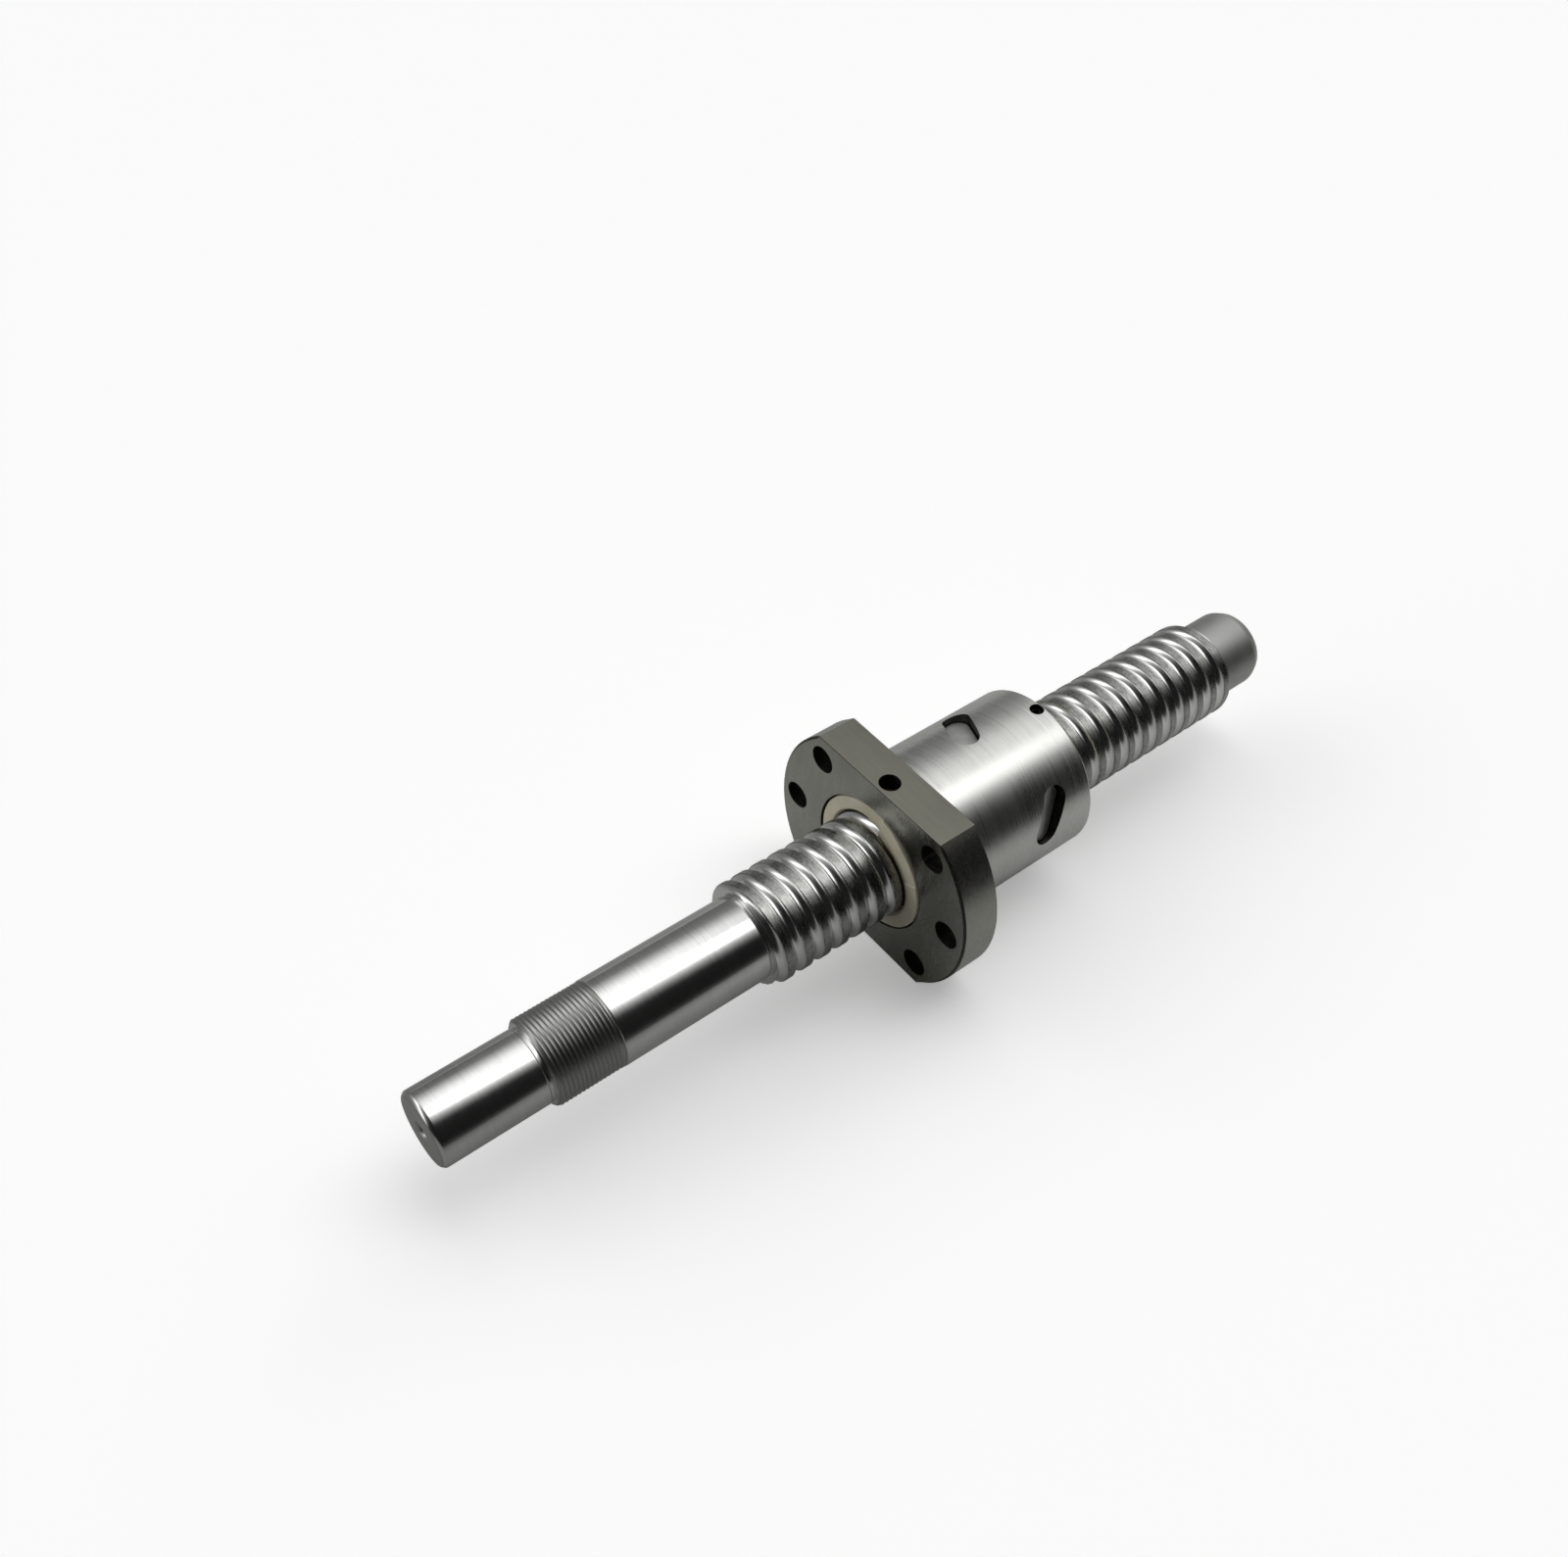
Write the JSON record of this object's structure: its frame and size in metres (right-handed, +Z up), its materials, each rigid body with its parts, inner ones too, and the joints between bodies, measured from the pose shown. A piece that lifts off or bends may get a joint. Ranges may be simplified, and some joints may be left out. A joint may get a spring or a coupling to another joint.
{
  "type": "ball screw assembly",
  "caption": "Ball screw with machined drive and support ends and a flanged ball nut that travels along it as it turns.",
  "frame": {"origin": "middle of the drive end's flat end face, on the screw's axis", "axes": "+X along the screw axis from the drive end to the support end, +Z up through the flange's upper flat, +Y to the left seen from the drive end"},
  "size_m": [0.237, 0.062, 0.048],
  "materials": {
    "screw_steel": "polished",
    "nut_steel": "ground",
    "wiper_plastic": "satin",
    "deflector_steel": "matt",
    "ball_steel": "polished",
    "set_screw_steel": "black oxide"
  },
  "bodies": {
    "screw": {"screw_shaft": "screw_steel"},
    "balls": {"loaded_balls_1": "ball_steel", "return_ball_1_1": "ball_steel", "return_ball_1_2": "ball_steel", "return_ball_1_3": "ball_steel", "return_ball_1_4": "ball_steel", "loaded_balls_2": "ball_steel", "return_ball_2_1": "ball_steel", "return_ball_2_2": "ball_steel", "return_ball_2_3": "ball_steel", "return_ball_2_4": "ball_steel", "loaded_balls_3": "ball_steel", "return_ball_3_1": "ball_steel", "return_ball_3_2": "ball_steel", "return_ball_3_3": "ball_steel", "return_ball_3_4": "ball_steel", "loaded_balls_4": "ball_steel", "return_ball_4_1": "ball_steel", "return_ball_4_2": "ball_steel", "return_ball_4_3": "ball_steel", "return_ball_4_4": "ball_steel"},
    "nut": {"nut_body": "nut_steel", "front_wiper": "wiper_plastic", "rear_wiper": "wiper_plastic", "front_wiper_set_screw": "set_screw_steel", "rear_wiper_set_screw": "set_screw_steel", "deflector_1": "deflector_steel", "deflector_2": "deflector_steel", "deflector_3": "deflector_steel", "deflector_4": "deflector_steel"}
  },
  "joints": [
    {"name": "nut_travel", "type": "slide", "parent": "screw", "child": "balls", "axis": [1, 0, 0], "range_m": [-0.0301, 0.0551], "deforming": ["loaded_balls_1", "return_ball_1_1", "return_ball_1_2", "return_ball_1_3", "return_ball_1_4", "loaded_balls_2", "return_ball_2_1", "return_ball_2_2", "return_ball_2_3", "return_ball_2_4", "loaded_balls_3", "return_ball_3_1", "return_ball_3_2", "return_ball_3_3", "return_ball_3_4", "loaded_balls_4", "return_ball_4_1", "return_ball_4_2", "return_ball_4_3", "return_ball_4_4"]},
    {"name": "nut_spin", "type": "hinge", "parent": "balls", "child": "nut", "pos_m": [0.113, 0, 0], "axis": [1, 0, 0], "range_deg": [-2160, 3960]}
  ],
  "couplings": [
    {"joint": "nut_travel", "follows": "nut_spin", "m_per_rad": 0.00079577}
  ]
}
